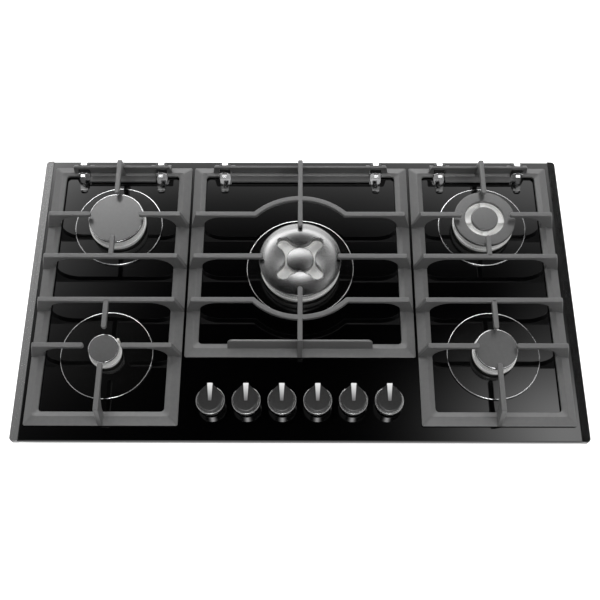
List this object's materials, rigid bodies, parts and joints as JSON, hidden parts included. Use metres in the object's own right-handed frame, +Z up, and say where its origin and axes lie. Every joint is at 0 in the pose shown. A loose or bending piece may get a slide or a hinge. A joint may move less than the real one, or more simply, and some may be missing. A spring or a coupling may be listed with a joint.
{
  "type": "gas cooktop",
  "caption": "Built-in gas hob: black glass over a burner box, cast pan supports that hinge up at the back, lift-off burner caps and push-and-turn taps along the front.",
  "frame": {"origin": "middle of the glass plate's outline, at the underside of the burner box", "axes": "+X along the width to the right as seen from the front, +Y to the back, +Z up"},
  "size_m": [0.9, 0.51, 0.105],
  "materials": {
    "black_glass": "polished",
    "brushed_trim": "brushed",
    "rubber": "matte",
    "zinc_sheet": "satin",
    "brass": "satin",
    "cast_aluminium": "satin",
    "copper": "satin",
    "white_plastic": "matte",
    "ceramic": "glazed",
    "dark_plastic": "matte",
    "chrome": "polished",
    "black_enamel": "enamel",
    "satin_cap": "satin",
    "cast_iron": "matte enamel",
    "knob_finish": "satin"
  },
  "bodies": {
    "hob": {"glass_top": "black_glass", "side_trims": "brushed_trim", "worktop_seal": "rubber", "burner_box": "zinc_sheet", "worktop_clamps": "zinc_sheet", "clamp_screws": "zinc_sheet", "gas_rail": "zinc_sheet", "gas_inlet": "brass", "valve_bodies": "cast_aluminium", "feed_pipes": "cast_aluminium", "injector_holders": "brass", "ignition_module": "white_plastic", "spark_electrodes": "ceramic", "thermocouples": "copper", "burner_screws": "zinc_sheet", "knob_seals": "rubber", "grate_clips": "chrome", "hinge_blocks": "dark_plastic", "burner_cups": "cast_aluminium", "burner_plate_front_left": "black_enamel", "burner_crown_front_left": "cast_aluminium", "burner_plate_front_right": "black_enamel", "burner_crown_front_right": "cast_aluminium", "burner_plate_back_left": "black_enamel", "burner_crown_back_left": "cast_aluminium", "burner_plate_back_right": "black_enamel", "burner_crown_back_right": "cast_aluminium", "burner_plate_centre": "black_enamel", "burner_crown_centre": "cast_aluminium"},
    "left_pan_support": {"left_grate": "cast_iron", "left_grate_feet": "rubber"},
    "centre_pan_support": {"centre_grate": "cast_iron", "centre_grate_feet": "rubber"},
    "right_pan_support": {"right_grate": "cast_iron", "right_grate_feet": "rubber"},
    "cap_front_left": {"burner_cap_front_left": "black_enamel"},
    "cap_front_right": {"burner_cap_front_right": "black_enamel"},
    "cap_back_left": {"burner_cap_back_left": "black_enamel"},
    "cap_back_right_outer": {"burner_cap_back_right_outer": "black_enamel"},
    "cap_back_right_inner": {"burner_cap_back_right_inner": "black_enamel"},
    "cap_centre_outer": {"burner_cap_centre_outer": "satin_cap"},
    "cap_centre_inner": {"burner_cap_centre_inner": "satin_cap"},
    "tap_plug_1": {"valve_plug_1": "brass"},
    "tap_knob_1": {"valve_spindle_1": "brass", "knob_1": "knob_finish"},
    "tap_plug_2": {"valve_plug_2": "brass"},
    "tap_knob_2": {"valve_spindle_2": "brass", "knob_2": "knob_finish"},
    "tap_plug_3": {"valve_plug_3": "brass"},
    "tap_knob_3": {"valve_spindle_3": "brass", "knob_3": "knob_finish"},
    "tap_plug_4": {"valve_plug_4": "brass"},
    "tap_knob_4": {"valve_spindle_4": "brass", "knob_4": "knob_finish"},
    "tap_plug_5": {"valve_plug_5": "brass"},
    "tap_knob_5": {"valve_spindle_5": "brass", "knob_5": "knob_finish"},
    "tap_plug_6": {"valve_plug_6": "brass"},
    "tap_knob_6": {"valve_spindle_6": "brass", "knob_6": "knob_finish"}
  },
  "joints": [
    {"name": "left_support_hinge", "type": "hinge", "parent": "hob", "child": "left_pan_support", "pos_m": [-0.3105, 0.234, 0.073], "axis": [-1, 0, 0], "range_deg": [0, 80]},
    {"name": "centre_support_hinge", "type": "hinge", "parent": "hob", "child": "centre_pan_support", "pos_m": [0, 0.234, 0.073], "axis": [-1, 0, 0], "range_deg": [0, 80]},
    {"name": "right_support_hinge", "type": "hinge", "parent": "hob", "child": "right_pan_support", "pos_m": [0.3105, 0.234, 0.073], "axis": [-1, 0, 0], "range_deg": [0, 80]},
    {"name": "front_left_cap_lift", "type": "slide", "parent": "hob", "child": "cap_front_left", "axis": [0, 0, 1], "range_m": [0, 0.005]},
    {"name": "front_right_cap_lift", "type": "slide", "parent": "hob", "child": "cap_front_right", "axis": [0, 0, 1], "range_m": [0, 0.005]},
    {"name": "back_left_cap_lift", "type": "slide", "parent": "hob", "child": "cap_back_left", "axis": [0, 0, 1], "range_m": [0, 0.005]},
    {"name": "back_right_outer_cap_lift", "type": "slide", "parent": "hob", "child": "cap_back_right_outer", "axis": [0, 0, 1], "range_m": [0, 0.005]},
    {"name": "back_right_inner_cap_lift", "type": "slide", "parent": "hob", "child": "cap_back_right_inner", "axis": [0, 0, 1], "range_m": [0, 0.005]},
    {"name": "centre_outer_cap_lift", "type": "slide", "parent": "hob", "child": "cap_centre_outer", "axis": [0, 0, 1], "range_m": [0, 0.0016]},
    {"name": "centre_inner_cap_lift", "type": "slide", "parent": "hob", "child": "cap_centre_inner", "axis": [0, 0, 1], "range_m": [0, 0.0035]},
    {"name": "tap_1_turn", "type": "hinge", "parent": "hob", "child": "tap_plug_1", "pos_m": [-0.139, -0.195, 0.05], "axis": [0, 0, 1], "range_deg": [0, 210]},
    {"name": "tap_1_push", "type": "slide", "parent": "tap_plug_1", "child": "tap_knob_1", "axis": [0, 0, -1], "range_m": [0, 0.0025], "stiffness_N_per_m": 2000, "springref_m": -0.001},
    {"name": "tap_2_turn", "type": "hinge", "parent": "hob", "child": "tap_plug_2", "pos_m": [-0.0834, -0.195, 0.05], "axis": [0, 0, 1], "range_deg": [0, 210]},
    {"name": "tap_2_push", "type": "slide", "parent": "tap_plug_2", "child": "tap_knob_2", "axis": [0, 0, -1], "range_m": [0, 0.0025], "stiffness_N_per_m": 2000, "springref_m": -0.001},
    {"name": "tap_3_turn", "type": "hinge", "parent": "hob", "child": "tap_plug_3", "pos_m": [-0.0278, -0.195, 0.05], "axis": [0, 0, 1], "range_deg": [0, 210]},
    {"name": "tap_3_push", "type": "slide", "parent": "tap_plug_3", "child": "tap_knob_3", "axis": [0, 0, -1], "range_m": [0, 0.0025], "stiffness_N_per_m": 2000, "springref_m": -0.001},
    {"name": "tap_4_turn", "type": "hinge", "parent": "hob", "child": "tap_plug_4", "pos_m": [0.0278, -0.195, 0.05], "axis": [0, 0, 1], "range_deg": [0, 210]},
    {"name": "tap_4_push", "type": "slide", "parent": "tap_plug_4", "child": "tap_knob_4", "axis": [0, 0, -1], "range_m": [0, 0.0025], "stiffness_N_per_m": 2000, "springref_m": -0.001},
    {"name": "tap_5_turn", "type": "hinge", "parent": "hob", "child": "tap_plug_5", "pos_m": [0.0834, -0.195, 0.05], "axis": [0, 0, 1], "range_deg": [0, 210]},
    {"name": "tap_5_push", "type": "slide", "parent": "tap_plug_5", "child": "tap_knob_5", "axis": [0, 0, -1], "range_m": [0, 0.0025], "stiffness_N_per_m": 2000, "springref_m": -0.001},
    {"name": "tap_6_turn", "type": "hinge", "parent": "hob", "child": "tap_plug_6", "pos_m": [0.139, -0.195, 0.05], "axis": [0, 0, 1], "range_deg": [0, 210]},
    {"name": "tap_6_push", "type": "slide", "parent": "tap_plug_6", "child": "tap_knob_6", "axis": [0, 0, -1], "range_m": [0, 0.0025], "stiffness_N_per_m": 2000, "springref_m": -0.001}
  ]
}
